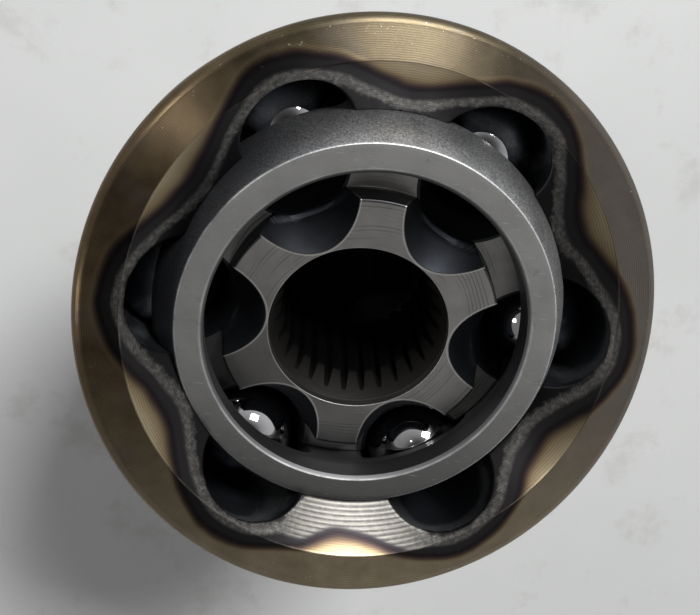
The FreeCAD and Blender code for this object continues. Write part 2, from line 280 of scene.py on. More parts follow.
def sector_turn(angles):
    """Azimuth measured from the nearest track's middle."""
    return (angles + SECTOR / 2) % SECTOR - SECTOR / 2


def filled(radii, radius):
    """The radii, with one given radius where there is none."""
    return np.where(np.isnan(radii), radius, radii)


def soft_larger(a, b, blend):
    """The larger of two radii, rounded where they meet."""
    return (a + b + np.sqrt((a - b) ** 2 + blend ** 2)) / 2


# ---------------------------------------------------------------- meshes

def new_object(name, mesh, matrix):
    """Object at the frame's origin, with its place in its mesh."""
    mesh.transform(matrix)
    piece = bpy.data.objects.new(name, mesh)
    bpy.context.collection.objects.link(piece)
    return piece


def mesh_of(name, work):
    """Mesh of a finished bmesh, which is freed."""
    mesh = bpy.data.meshes.new(name)
    work.to_mesh(mesh)
    work.free()
    return mesh


def round_mesh(name, radii, heights, matrix, closed=False):
    """Mesh of rings about the Z axis. radii and heights are (rows, columns) arrays in
    millimetres. A closed one joins its last ring to its first."""
    rows, columns = radii.shape
    angles = around(columns)
    points = np.stack([radii * np.cos(angles), radii * np.sin(angles), heights], axis=-1)
    points = points.reshape(-1, 3) * MM
    index = np.arange(rows * columns).reshape(rows, columns)
    upper = np.roll(index, -1, axis=0) if closed else index[1:]
    lower = index if closed else index[:-1]
    faces = np.stack([lower, np.roll(lower, -1, axis=1), np.roll(upper, -1, axis=1), upper],
                     axis=-1).reshape(-1, 4)
    mesh = bpy.data.meshes.new(name)
    mesh.from_pydata(points.tolist(), [], faces.tolist())
    work = bmesh.new()
    work.from_mesh(mesh)
    bmesh.ops.remove_doubles(work, verts=work.verts, dist=WELD)
    bmesh.ops.recalc_face_normals(work, faces=work.faces)
    work.to_mesh(mesh)
    work.free()
    mesh.shade_smooth()
    return new_object(name, mesh, matrix)


def sharpen(piece, degrees):
    """Sharp shading at edges that bend by more than an angle."""
    piece.data.set_sharp_from_angle(angle=math.radians(degrees))


def placed(lean):
    """Matrix of a piece centred on the joint, leaning about +X, its first track at its phase."""
    return (Matrix.Translation(CENTRE) @ Matrix.Rotation(lean, 4, "X")
            @ Matrix.Rotation(TRACK_PHASE, 4, "Z"))


def build_bell():
    """Bell from the centre of its floor, over the mouth and down the outside."""
    land = sphere_arc(BELL_LAND, -FLOOR_DEPTH, CONE_FOOT, step=0.8)
    floor = rounded([(0, -FLOOR_MIDDLE), (FLOOR_FLAT, -FLOOR_DEPTH, FLOOR_ROUND), land[0]],
                    step=2.0, bend=5)
    rim_middle = BELL_RADIUS - RIM_ROUND
    cone = rounded([land[-1], (CREST_RADIUS, CREST_HEIGHT, CREST_ROUND),
                    (rim_middle, RIM_HEIGHT)], step=0.3, bend=4)
    rim = arc((rim_middle, RIM_HEIGHT - RIM_ROUND), RIM_ROUND, RIM_START_DEG, 0, step=0.2)
    band = rounded([
        rim[-1], (BELL_RADIUS, GROOVE_HIGH, EDGE_ROUND),
        (GROOVE_RADIUS, GROOVE_FLOOR_HIGH, EDGE_ROUND),
        (GROOVE_RADIUS, GROOVE_FLOOR_LOW, EDGE_ROUND), (BELL_RADIUS, GROOVE_LOW, EDGE_ROUND),
        (BELL_RADIUS, TURNED_LOW, EDGE_ROUND), (*TURNED_FOOT, EDGE_ROUND), DOME_TOP], step=1.2)
    dome = arc((0, DOME_CENTRE), DOME_RADIUS, DOME_HIGH_DEG, DOME_LOW_DEG, step=2.0)
    foot = rounded([
        dome[-1], (HUB_RADIUS, HUB_HIGH, HUB_ROUND),
        (HUB_RADIUS, HUB_CHAMFER - SHOULDER_DEPTH, EDGE_ROUND),
        (HUB_RADIUS - HUB_CHAMFER, -SHOULDER_DEPTH, EDGE_ROUND),
        (PILOT_RADIUS + PILOT_FLARE, -SHOULDER_DEPTH, PILOT_FLARE_ROUND),
        (PILOT_RADIUS, -SHOULDER_DEPTH - PILOT_FLARE, PILOT_FLARE_ROUND),
        (PILOT_RADIUS, PILOT_CHAMFER - PILOT_END, PILOT_ROUND),
        (PILOT_RADIUS - PILOT_CHAMFER, -PILOT_END, PILOT_ROUND), (0, -PILOT_END)], step=1.5)
    profile = np.vstack([floor, land[1:-1], cone, rim, band[1:], dome[1:], foot[1:]])
    radii, heights = swept(profile, BELL_COLUMNS)
    # the tracks cut the land and the cone, not the floor
    cut_rows = len(floor) + len(land) - 2 + len(cone)
    turn = np.repeat(sector_turn(around(BELL_COLUMNS))[None], cut_rows, axis=0)
    tube = tube_radius(turn, heights[:cut_rows], 1, TRACK_OFFSET, TUBE_RADIUS)
    base = radii[:cut_rows]
    cut = filled(tube, -FAR)
    merged = soft_larger(base, cut, BELL_TRACK_EDGE)
    first = len(floor)
    radii[first:cut_rows] = np.where(cut > base - EDGE_REACH, merged, base)[first:]
    return round_mesh("bell", radii, heights, placed(0))


def tooth_share(angles, teeth, space):
    """1 in the middle of a tooth space, 0 on the teeth. Its flanks run between two half
    widths of the space, as shares of the pitch."""
    narrow, wide = space
    from_middle = np.abs((angles * teeth / (2 * math.pi) + 0.5) % 1.0 - 0.5)
    return np.clip((wide - from_middle) / (wide - narrow), 0, 1)


def build_stub():
    """Spline, relief, thread and centre drilling below the pilot."""
    top = STUB_OVERLAP - PILOT_END
    low = -CENTRE_HEIGHT
    spline_low = low + STUB_SPLINE_LOW
    columns = STUB_TEETH * STUB_TOOTH_COLUMNS
    angles = around(columns)
    outline = rounded([
        (0, top), (STUB_SPLINE, top), (STUB_SPLINE, spline_low + STUB_SPLINE_CHAMFER),
        (STUB_SPLINE - STUB_SPLINE_CHAMFER, spline_low, STUB_ROUND),
        (RELIEF_RADIUS, spline_low, EDGE_ROUND), (RELIEF_RADIUS, low + THREAD_LENGTH)], step=1.2)
    radii, heights = swept(outline, columns)
    space = tooth_share(angles, STUB_TEETH, STUB_SPACE)
    floor = STUB_SPLINE - (STUB_SPLINE - STUB_SPLINE_ROOT) * space
    on_spline = (outline[:, 0] > STUB_SPLINE_ROOT)[:, None]
    radii = np.where(on_spline, np.minimum(radii, floor[None]), radii)
    rises = np.arange(THREAD_LENGTH, 0.0, -THREAD_STEP)
    shaft = np.interp(rises, [0, THREAD_CHAMFER, THREAD_FULL, THREAD_LENGTH],
                      [THREAD_END_RADIUS, THREAD_RADIUS, THREAD_RADIUS, RELIEF_RADIUS])
    turns = rises[:, None] / THREAD_PITCH - angles[None] / (2 * math.pi)
    off_groove = np.abs((turns + 0.5) % 1.0 - 0.5) * THREAD_PITCH
    flank = THREAD_DEPTH * math.tan(math.radians(THREAD_FLANK_DEG))
    share = np.clip((THREAD_ROOT_HALF + flank - off_groove) / flank, 0, 1)
    thread = np.minimum(shaft[:, None], THREAD_RADIUS - THREAD_DEPTH * share)
    end = rounded([(THREAD_END_RADIUS, low), (DRILL_RADIUS, low, DRILL_ROUND),
                   (0, low + DRILL_DEPTH)], step=1.0)
    end_radii, end_heights = swept(end, columns)
    thread_heights = np.repeat(rises[:, None] + low, columns, axis=1)
    piece = round_mesh("stub", np.vstack([radii, thread, end_radii]),
                       np.vstack([heights, thread_heights, end_heights]), placed(0))
    sharpen(piece, STUB_SHARP_DEG)
    return piece


def build_inner_race():
    """Star with ball tracks, relieved fronts and a splined bore, in its own frame."""
    land = sphere_arc(RACE_LAND, -RACE_FRONT, RACE_SHOULDER, step=0.7)
    outside = np.vstack([
        rounded([(RACE_REAR_SEAM, -RACE_FRONT), (*land[0], EDGE_ROUND), land[1]], step=0.6)[:-1],
        land[1:-1],
        rounded([land[-2], (*land[-1], RACE_LAND_ROUND),
                 (RACE_HUB, RACE_SHOULDER, RACE_SHOULDER_ROUND),
                 (RACE_HUB, RACE_FRONT, RACE_HUB_ROUND),
                 (RACE_FRONT_SEAM, RACE_FRONT)], step=0.35, bend=4)])
    lead_high = RACE_FRONT - RACE_BORE_LENGTH
    lead_low = lead_high - RACE_LEAD_IN
    inside = np.vstack([
        rounded([(RACE_FRONT_SEAM, RACE_FRONT), (RACE_BORE, RACE_FRONT, RACE_BORE_ROUND),
                 (RACE_BORE, lead_high, EDGE_ROUND), (RACE_TIP, lead_low)], step=0.2),
        rounded([(RACE_TIP, lead_low), (RACE_TIP, RACE_REAR_CHAMFER - RACE_FRONT, RACE_TIP_ROUND),
                 (RACE_TIP + RACE_REAR_CHAMFER, -RACE_FRONT, RACE_REAR_ROUND),
                 (RACE_REAR_SEAM, -RACE_FRONT)], step=0.6)[1:]])
    angles = around(RACE_COLUMNS)
    turn = np.repeat(sector_turn(angles)[None], len(outside), axis=0)
    base, heights = swept(outside, RACE_COLUMNS)
    ground, relief = (tube_radius(turn, heights, -1, -TRACK_OFFSET, TUBE_RADIUS + more)
                      for more in (0, RACE_RELIEF_DEPTH))
    # the tracks are relieved towards the front, past a short run
    rise = np.arctan2(heights + TRACK_OFFSET, filled(relief, FAR))
    start = np.clip((rise - RACE_RELIEF_START) / RACE_RELIEF_RUN, 0, 1)
    ground, relief = filled(ground, FAR), filled(relief, FAR)
    cut = np.where(start > 0, np.minimum(ground, ground * (1 - start) + relief * start), ground)
    merged = base + cut - soft_larger(base, cut, RACE_TRACK_EDGE)
    outer = np.where(cut < base + EDGE_REACH, merged, base)
    space = tooth_share(angles, RACE_TEETH, RACE_SPACE)
    tooth = RACE_TIP + (RACE_ROOT - RACE_TIP) * space
    bore, bore_heights = swept(inside, RACE_COLUMNS)
    in_spline = (inside[:, 1] < lead_high)[:, None] & (inside[:, 0] < RACE_ROOT)[:, None]
    bore = np.where(in_spline, np.maximum(bore, tooth[None]), bore)
    piece = round_mesh("star", np.vstack([outer, bore[1:-1]]),
                       np.vstack([heights, bore_heights[1:-1]]), placed(REST_LEAN), closed=True)
    sharpen(piece, RACE_SHARP_DEG)
    return piece


def rounded_box(name, half, depth, corner):
    """Cutter along +X with rounded corners in the YZ plane."""
    outline = []
    for cy, cz, start in ((1, 1, 0), (-1, 1, 90), (-1, -1, 180), (1, -1, 270)):
        for k in range(CORNER_PIECES + 1):
            a = math.radians(start + 90 * k / CORNER_PIECES)
            outline.append((cy * (half[0] - corner) + corner * math.cos(a),
                            cz * (half[1] - corner) + corner * math.sin(a)))
    work = bmesh.new()
    near, far = ([work.verts.new((x * MM, y * MM, z * MM)) for y, z in outline] for x in depth)
    count = len(outline)
    for i in range(count):
        j = (i + 1) % count
        work.faces.new((near[i], near[j], far[j], far[i]))
    work.faces.new(near[::-1])
    work.faces.new(far)
    bmesh.ops.recalc_face_normals(work, faces=work.faces)
    return mesh_of(name, work)


def build_cage():
    """Spherical ring with six windows, in its own frame."""
    outer = sphere_arc(CAGE_OUTER, -CAGE_REAR, CAGE_FRONT, step=1.0)
    seat_front = math.sqrt(CAGE_INNER ** 2 - CAGE_FRONT_BORE ** 2)
    seat_rear = -math.sqrt(CAGE_INNER ** 2 - CAGE_REAR_BORE ** 2)
    inner = sphere_arc(CAGE_INNER, seat_rear, seat_front, step=1.2)[::-1]
    front = rounded([outer[-2], (*outer[-1], EDGE_ROUND),
                     (CAGE_FRONT_BORE + CAGE_CHAMFER, CAGE_FRONT, CAGE_BORE_ROUND),
                     (CAGE_FRONT_BORE, CAGE_FRONT - CAGE_CHAMFER, CAGE_BORE_ROUND), inner[0]],
                    step=0.8, bend=4)
    rear = rounded([inner[-1], (CAGE_REAR_BORE, CAGE_CHAMFER - CAGE_REAR, CAGE_BORE_ROUND),
                    (CAGE_REAR_BORE + CAGE_CHAMFER, -CAGE_REAR, CAGE_BORE_ROUND),
                    (*outer[0], EDGE_ROUND), outer[1]], step=0.8, bend=4)
    profile = np.vstack([outer[1:-1], front[1:], inner[1:-1], rear[:-1]])
    piece = round_mesh("cage_ring", *swept(profile, CAGE_COLUMNS), Matrix.Identity(4), closed=True)
    work = bmesh.new()
    one = rounded_box("window", (WINDOW_LENGTH / 2, WINDOW_HALF), WINDOW_CUT, WINDOW_CORNER)
    for k in range(TRACKS):
        copy = one.copy()
        copy.transform(Matrix.Rotation(k * SECTOR, 4, "Z"))
        work.from_mesh(copy)
    cutter = new_object("windows", mesh_of("windows", work), Matrix.Identity(4))
    cut = piece.modifiers.new("windows", "BOOLEAN")
    cut.object = cutter
    cut.operation = "DIFFERENCE"
    cut.solver = "EXACT"
    bpy.context.view_layer.update()
    graph = bpy.context.evaluated_depsgraph_get()
    mesh = bpy.data.meshes.new_from_object(piece.evaluated_get(graph))
    piece.modifiers.clear()
    piece.data = mesh
    mesh.name = "cage_ring"
    bpy.data.objects.remove(cutter)
    mesh.shade_smooth()
    sharpen(piece, CAGE_SHARP_DEG)
    mesh.transform(placed(REST_LEAN / 2))
    return piece


def build_ball(number):
    """Ball of even triangles, in the middle of its node's box."""
    low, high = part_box(f"ball_{number}")
    work = bmesh.new()
    bmesh.ops.create_icosphere(work, subdivisions=BALL_DIVISIONS, radius=BALL_RADIUS * MM)
    mesh = mesh_of(f"polished_ball_{number}", work)
    mesh.shade_smooth()
    return new_object(f"polished_ball_{number}", mesh, Matrix.Translation((low + high) / 2))


# ---------------------------------------------------------------- materials
# Colours are linear, a pair of them the dark and the light of a pattern. A noise is (scale per
# millimetre, detail, roughness). A fade is (where it is 0, where it is 1, its full share), over
# millimetres, over the strength of a noise, or over the cosine of an azimuth.

# sockets of a mix node: the two colours, the mixed colour, and a factor with two numbers
COLOUR_INPUTS = (6, 7)
COLOUR_OUTPUT = 2
NUMBER_INPUTS = (0, 2, 3)


class Shader:
    """A node tree, built by short calls. Inputs may be sockets or numbers."""

    def __init__(self, owner):
        owner.use_nodes = True
        self.owner = owner
        self.tree = owner.node_tree

    def node(self, kind, **settings):
        made = self.tree.nodes.new(kind)
        for key, setting in settings.items():
            setattr(made, key, setting)
        return made

    def feed(self, socket, source):
        if isinstance(source, bpy.types.NodeSocket):
            self.tree.links.new(source, socket)
        else:
            socket.default_value = source

    def math(self, operation, *sources):
        made = self.node("ShaderNodeMath", operation=operation)
        for socket, source in zip(made.inputs, sources):
            self.feed(socket, source)
        return made.outputs[0]

    def times(self, a, b):
        return self.math("MULTIPLY", a, b)

    def linear(self, value, factor, offset):
        """The value times a factor, plus an offset."""
        return self.math("MULTIPLY_ADD", value, factor, offset)

    def without(self, mask):
        """What a mask leaves of 1."""
        return self.math("SUBTRACT", 1.0, mask)

    def length(self, x, y):
        return self.math("SQRT", self.math("ADD", self.times(x, x), self.times(y, y)))

    def facing(self, azimuth, degrees):
        """1 at one azimuth, -1 on the far side."""
        return self.math("COSINE", self.math("SUBTRACT", azimuth, math.radians(degrees)))

    def position(self, lean=0.0):
        """Place in millimetres from the joint's centre, in the frame of a piece that leans
        about X and has its first track along X. Gives the vector and its three parts."""
        place = self.node("ShaderNodeTexCoord").outputs["Object"]
        centred = self.node("ShaderNodeVectorMath", operation="SUBTRACT")
        self.feed(centred.inputs[0], place)
        centred.inputs[1].default_value = CENTRE
        scaled = self.node("ShaderNodeVectorMath", operation="SCALE")
        self.feed(scaled.inputs[0], centred.outputs[0])
        scaled.inputs["Scale"].default_value = 1 / MM
        found = scaled.outputs[0]
        for axis, angle in (("X_AXIS", -lean), ("Z_AXIS", -TRACK_PHASE)):
            turned = self.node("ShaderNodeVectorRotate", rotation_type=axis)
            self.feed(turned.inputs["Vector"], found)
            turned.inputs["Angle"].default_value = angle
            found = turned.outputs[0]
        parts = self.node("ShaderNodeSeparateXYZ")
        self.feed(parts.inputs[0], found)
        return found, list(parts.outputs)

    def combine(self, x, y, z):
        made = self.node("ShaderNodeCombineXYZ")
        for socket, source in zip(made.inputs, (x, y, z)):
            self.feed(socket, source)
        return made.outputs[0]

    def noise(self, vector, scale, detail=4.0, roughness=0.55):
        made = self.node("ShaderNodeTexNoise")
        self.feed(made.inputs["Vector"], vector)
        made.inputs["Scale"].default_value = scale
        made.inputs["Detail"].default_value = detail
        made.inputs["Roughness"].default_value = roughness
        return made.outputs["Fac"]

    def fade(self, value, low, high, share=None):
        """0 below low, the full share or 1 above high, smooth between."""
        made = self.node("ShaderNodeMapRange", interpolation_type="SMOOTHSTEP")
        self.feed(made.inputs["Value"], value)
        made.inputs["From Min"].default_value = low
        made.inputs["From Max"].default_value = high
        return made.outputs[0] if share is None else self.times(made.outputs[0], share)

    def line(self, value, level, half, edge):
        """1 within a half width of a level, 0 beyond the line's edge."""
        off = self.math("ABSOLUTE", self.math("SUBTRACT", value, level))
        return self.without(self.fade(off, half, edge))

    def ramp(self, value, stops):
        made = self.node("ShaderNodeValToRGB")
        self.feed(made.inputs[0], value)
        points = made.color_ramp.elements
        while len(points) < len(stops):
            points.new(0.5)
        for point, (at, colour) in zip(points, stops):
            point.position = at
            point.color = (*colour, 1.0)
        return made.outputs[0]

    def mix(self, factor, a, b):
        made = self.node("ShaderNodeMix", data_type="RGBA")
        self.feed(made.inputs["Factor"], factor)
        for socket, source in zip(COLOUR_INPUTS, (a, b)):
            if isinstance(source, tuple):
                source = (*source, 1.0)
            self.feed(made.inputs[socket], source)
        return made.outputs[COLOUR_OUTPUT]

    def blend(self, factor, a, b):
        """Number between a and b."""
        made = self.node("ShaderNodeMix", data_type="FLOAT")
        for socket, source in zip(NUMBER_INPUTS, (factor, a, b)):
            self.feed(made.inputs[socket], source)
        return made.outputs[0]

    def bump(self, height, depth):
        """Normal from a height of 0 to 1, depth millimetres high."""
        made = self.node("ShaderNodeBump")
        self.feed(made.inputs["Height"], height)
        made.inputs["Distance"].default_value = depth * MM
        made.inputs["Strength"].default_value = 1.0
        return made.outputs[0]

    def turning_lines(self, along, spacing):
        """Ridges left by turning, as a number from 0 to 1."""
        return self.linear(self.math("SINE", self.times(along, 2 * math.pi / spacing)), 0.5, 0.5)

    def off_tube(self, r, azimuth, z, arc_height):
        """Distance outside the nearest track's tube wall."""
        turn = self.math("WRAP", azimuth, SECTOR / 2, -SECTOR / 2)
        across = self.times(r, self.math("SINE", turn))
        along = self.times(r, self.math("COSINE", turn))
        rise = self.math("SUBTRACT", z, arc_height)
        off_arc = self.math("SUBTRACT", self.length(along, rise), TRACK_ARC)
        return self.math("SUBTRACT", self.length(off_arc, across), TUBE_RADIUS)

    def finish(self, colour, roughness, normal, metallic=1.0, grain=0.0):
        """Material with these inputs, its grain running round the Z axis."""
        surface = self.tree.nodes["Principled BSDF"].inputs
        self.feed(surface["Base Color"], colour)
        self.feed(surface["Roughness"], roughness)
        self.feed(surface["Normal"], normal)
        surface["Metallic"].default_value = metallic
        if grain:
            surface["Anisotropic"].default_value = grain
            surface["Anisotropic Rotation"].default_value = GRAIN_TURN
            tangent = self.node("ShaderNodeTangent", direction_type="RADIAL", axis="Z")
            self.feed(surface["Tangent"], tangent.outputs[0])
        return self.owner


GRAIN_TURN = 0.25

# bell: noises, the wavy line of the heat tint and its colours from inside it to outside
BELL_SPECKLE = (2.4, 6.0, 0.72)
BELL_CLOUD = (0.22, 5.0, 0.6)
BELL_PATCHES = (0.09, 3.0, 0.5)
HEAT_RADIUS = 38.4
HEAT_WAVE = 3.1
WANDER_NOISE = (0.12, 1.5)
WANDER = (1.6, -0.8)
TINT_SCALE = (0.1, 0.4)
TINTS = [
    (0.00, (0.016, 0.016, 0.018)), (0.13, (0.050, 0.048, 0.046)), (0.20, (0.026, 0.025, 0.027)),
    (0.30, (0.024, 0.024, 0.027)), (0.36, (0.013, 0.011, 0.013)), (0.40, (0.030, 0.021, 0.022)),
    (0.44, (0.085, 0.060, 0.040)), (0.51, (0.24, 0.185, 0.110)), (0.64, (0.36, 0.295, 0.190)),
    (1.0, (0.33, 0.27, 0.18))]
# the rim's bronze, paler and warmer on two sides, lighter on a third with a painted highlight and
# dark across from it with painted shade
BRONZE = ((0.085, 0.063, 0.036), (0.210, 0.168, 0.104))
PALE_BRONZE = ((0.12, 0.106, 0.092), (0.22, 0.196, 0.170))
WARM_BRONZE = ((0.095, 0.063, 0.033), (0.24, 0.175, 0.103))
HIGHLIT_BRONZE = ((0.20, 0.165, 0.110), (0.40, 0.335, 0.230))
SHADED_BRONZE = ((0.030, 0.025, 0.018), (0.120, 0.100, 0.064))
PATCH_BRONZE = (0.155, 0.130, 0.115)
PALE_SIDE_DEG = 8
PALE_FADE = (0.1, 1.0)
WARM_FADE = (-0.2, -1.0)
PATCH_FADE = (0.5, 0.62, 0.6)
GLARE_SIDE_DEG = 272
HIGHLIT_FADE = (0.1, 0.9, 0.7)
SHADED_FADE = (-0.80, -0.99, 0.6)
RIM_FADE = (CREST_RADIUS - 0.1, CREST_RADIUS + 0.3)
BRONZE_FADE = (0.4, 1.4)
# the frayed, mottled band inside the heat line, with a painted highlight on the side where the
# window reflects
GLARE_FADE = (0.94, 0.98)
GLARE_SHIFT = -0.6
GLARE_INNER = 3.3
GLARE_OUTER = -1.0
FRAY_NOISE = (0.7, 4.0, 0.65)
FRAY = (2.4, -1.2)
BAND_INNER_FADE = (-4.1, -3.2)
BAND_OUTER_FADE = (-2.6, -1.8)
BAND_SHARE = 0.8
MOTTLE_NOISE = (1.3, 6.0, 0.68)
MOTTLE = [(0.34, (0.070, 0.069, 0.067)), (0.50, (0.135, 0.132, 0.125)), (0.66, (0.25, 0.245, 0.23))]
GLARE_LINES = 0.62
GLARE_COLOURS = ((0.07, 0.067, 0.065), (0.36, 0.345, 0.31))
GLARE_SPECKLE = 0.7
# a painted highlight along the crest of the mouth, in cloudy patches like wear, and nicks in the
# rim
CREST_GLINT_LINE = (0.05, 0.17)
CREST_GLINT_PATCHES = (0.35, 1.1)
CREST_GLINT = (0.42, 0.38, 0.30)
NICK_NOISE = (1.9, 2.0, 0.8)
NICK_FADE = (0.70, 0.74)
NICK_SHARE = 0.7
NICK_COLOUR = (0.62, 0.60, 0.55)
NICK_DEPTH = -0.8
# tracks, land and floor inside the mouth, with painted shade deeper in
CUT_FADE = (-0.12, 0.12)
LAND_COLOUR = (0.020, 0.021, 0.025)
TRACK_STEEL = ((0.10, 0.12, 0.15), (0.16, 0.19, 0.22))
SHADE_FADE = (-9.0, -16.0)
SHADE_COLOUR = (0.010, 0.011, 0.013)
# the forged dome, scaled and a little rusty
FORGED_FADE = (-8.0, -7.2)
SCALE_NOISE = (0.55, 6.0, 0.7)
SCALE_FADE = (0.36, 0.64)
SCALE = ((0.040, 0.038, 0.037), (0.19, 0.18, 0.168))
RUST_FADE = (0.50, 0.60, 0.5)
RUST = (0.115, 0.078, 0.052)
# turning marks, relief and roughness
WAVER_NOISE = (0.35, 2.0)
WAVER = 0.5
LINES_CLIMB = 0.9
BELL_LINES = 0.29
BELL_LINES_RELIEF = 0.30
GROOVE_WAVER = 0.8
GROOVE_LINES = 0.33
GROOVE_SHARE = 0.30
GROOVE_COLOUR = (0.035, 0.028, 0.022)
BELL_GRAININESS = 0.25
BAND_GRAININESS = 1.2
SCALE_GRAININESS = 3.0
BELL_ROUGH = (0.14, 0.24)
BAND_ROUGH = 0.40
CUT_ROUGH = 0.34
SCALE_ROUGH = 0.55
BELL_BUMP = 0.008
BELL_GRAIN = 0.8


def bell_steel():
    """Turned steel, heat-tinted in bands that follow the hardened tracks and land."""
    s = Shader(bpy.data.materials.new("bell_steel"))
    place, (x, y, z) = s.position()
    r = s.length(x, y)
    azimuth = s.math("ARCTAN2", y, x)
    from_track = s.off_tube(r, azimuth, z, TRACK_OFFSET)
    from_land = s.math("SUBTRACT", s.length(r, z), BELL_LAND)
    speckle = s.noise(place, *BELL_SPECKLE)
    cloud = s.noise(place, *BELL_CLOUD)
    patches = s.noise(place, *BELL_PATCHES)
    pale_side = s.facing(azimuth, PALE_SIDE_DEG)
    # the side where the window reflects, which gets the painted highlights
    glare_side = s.facing(azimuth, GLARE_SIDE_DEG)
    # painted highlight band where the window reflects, which also shifts the tint and the mottled
    # band
    glare = s.fade(glare_side, *GLARE_FADE)
    # how far outside the heat line, a wavy ring round the tracks
    heat_line = s.linear(s.math("COSINE", s.times(azimuth, TRACKS)), HEAT_WAVE, HEAT_RADIUS)
    wander = s.linear(s.noise(place, *WANDER_NOISE), *WANDER)
    beyond = s.math("ADD", s.math("SUBTRACT", r, heat_line), wander)
    beyond = s.linear(glare, GLARE_SHIFT, beyond)
    tint = s.ramp(s.linear(beyond, *TINT_SCALE), TINTS)
    bronze = s.mix(cloud, *BRONZE)
    bronze = s.mix(s.fade(pale_side, *PALE_FADE), bronze, s.mix(cloud, *PALE_BRONZE))
    bronze = s.mix(s.fade(pale_side, *WARM_FADE), bronze, s.mix(cloud, *WARM_BRONZE))
    bronze = s.mix(s.fade(patches, *PATCH_FADE), bronze, PATCH_BRONZE)
    # painted highlight: the bronze lighter where the window reflects; painted shade: darker across
    # from it
    bronze = s.mix(s.fade(glare_side, *HIGHLIT_FADE), bronze, s.mix(cloud, *HIGHLIT_BRONZE))
    bronze = s.mix(s.fade(glare_side, *SHADED_FADE), bronze, s.mix(speckle, *SHADED_BRONZE))
    on_rim = s.times(s.fade(r, *RIM_FADE), s.fade(beyond, *BRONZE_FADE))
    colour = s.mix(on_rim, tint, bronze)
    ragged = s.linear(s.noise(place, *FRAY_NOISE), *FRAY)
    inner_side = s.math("ADD", s.linear(glare, GLARE_INNER, beyond), ragged)
    outer_side = s.linear(glare, GLARE_OUTER, beyond)
    near_band = s.times(s.fade(inner_side, *BAND_INNER_FADE),
                        s.without(s.fade(outer_side, *BAND_OUTER_FADE)))
    mottled = s.ramp(s.noise(place, *MOTTLE_NOISE), MOTTLE)
    bright = s.mix(s.turning_lines(r, GLARE_LINES), *GLARE_COLOURS)
    mottled = s.mix(glare, mottled, s.mix(s.times(speckle, GLARE_SPECKLE), bright, mottled))
    colour = s.mix(s.times(near_band, BAND_SHARE), colour, mottled)
    # painted highlight along the crest
    crest_glint = s.times(s.line(r, CREST_RADIUS, *CREST_GLINT_LINE), s.fade(cloud, *CREST_GLINT_PATCHES))
    colour = s.mix(crest_glint, colour, CREST_GLINT)
    nick = s.times(s.fade(s.noise(place, *NICK_NOISE), *NICK_FADE),
                   s.fade(r, CREST_RADIUS, BELL_RADIUS))
    colour = s.mix(s.times(nick, NICK_SHARE), colour, NICK_COLOUR)
    deep = s.without(s.fade(s.math("MINIMUM", from_track, from_land), *CUT_FADE))
    in_track = s.without(s.fade(from_track, *CUT_FADE))
    inside = s.mix(in_track, LAND_COLOUR, s.mix(cloud, *TRACK_STEEL))
    # painted shade: darker deeper inside the bell
    inside = s.mix(s.fade(z, *SHADE_FADE), inside, SHADE_COLOUR)
    colour = s.mix(deep, colour, inside)
    forged = s.times(s.without(s.fade(z, *FORGED_FADE)), s.without(deep))
    scale_colour = s.mix(s.fade(s.noise(place, *SCALE_NOISE), *SCALE_FADE), *SCALE)
    scale_colour = s.mix(s.fade(patches, *RUST_FADE), scale_colour, RUST)
    colour = s.mix(forged, colour, scale_colour)
    turned = s.times(s.without(deep), s.without(forged))
    waver = s.times(s.noise(place, *WAVER_NOISE), WAVER)
    lines = s.turning_lines(s.math("ADD", s.linear(z, LINES_CLIMB, r), waver), BELL_LINES)
    grooves = s.turning_lines(s.linear(waver, GROOVE_WAVER, r), GROOVE_LINES)
    colour = s.mix(s.times(s.times(grooves, turned), GROOVE_SHARE), colour, GROOVE_COLOUR)
    graininess = s.blend(forged, s.blend(near_band, BELL_GRAININESS, BAND_GRAININESS),
                         SCALE_GRAININESS)
    relief = s.math("ADD", s.times(s.times(lines, turned), BELL_LINES_RELIEF),
                    s.times(speckle, graininess))
    relief = s.linear(nick, NICK_DEPTH, relief)
    rough = s.blend(near_band, s.linear(cloud, *BELL_ROUGH), BAND_ROUGH)
    rough = s.blend(deep, rough, CUT_ROUGH)
    rough = s.blend(forged, rough, SCALE_ROUGH)
    return s.finish(colour, rough, s.bump(relief, BELL_BUMP), grain=BELL_GRAIN)


STUB_CLOUD = (0.35, 5.0)
STUB_SPECKLE = (3.0, 4.0)
STUB_TONES = ((0.16, 0.155, 0.15), (0.36, 0.355, 0.345))
STUB_LINES = 0.22
STUB_LINES_RELIEF = 0.4
STUB_ROUGH = (0.2, 0.24)
STUB_BUMP = 0.004
STUB_GRAIN = 0.3


def stub_steel():
    """Rolled spline and thread, oiled dark steel."""
    s = Shader(bpy.data.materials.new("stub_steel"))
    place, (_, _, z) = s.position()
    speckle = s.noise(place, *STUB_SPECKLE)
    colour = s.mix(s.noise(place, *STUB_CLOUD), *STUB_TONES)
    relief = s.math("ADD", s.times(s.turning_lines(z, STUB_LINES), STUB_LINES_RELIEF), speckle)
    return s.finish(colour, s.linear(speckle, *STUB_ROUGH), s.bump(relief, STUB_BUMP),
                    grain=STUB_GRAIN)


# cage: noises, and the ground front face with its blots, painted shade on one side, and scratches
CAGE_SPECKLE = (3.2, 6.0, 0.72)
CAGE_CLOUD = (0.16, 5.0, 0.62)
CAGE_FINE = (9.0, 3.0)
FACE_CLOUD = 0.75
FACE_FINE = 0.25
FACE = ((0.23, 0.228, 0.224), (0.42, 0.416, 0.408))
BLOT_NOISE = (0.28, 6.0, 0.7)
BLOT_FADE = (0.57, 0.66, 0.35)
BLOT = (0.165, 0.163, 0.16)
FACE_SHADE_DEG = 275
FACE_SHADE_FADE = (0.0, 1.0, 0.75)
FACE_SHADE = (0.13, 0.128, 0.126)
SCRATCH_STRETCH = (0.35, 4.0)
SCRATCH_NOISE = (1.1, 2.0)
SCRATCH_FADE = (0.67, 0.72)
SCRATCH_SHARE = 0.35
SCRATCH = (0.66, 0.66, 0.65)
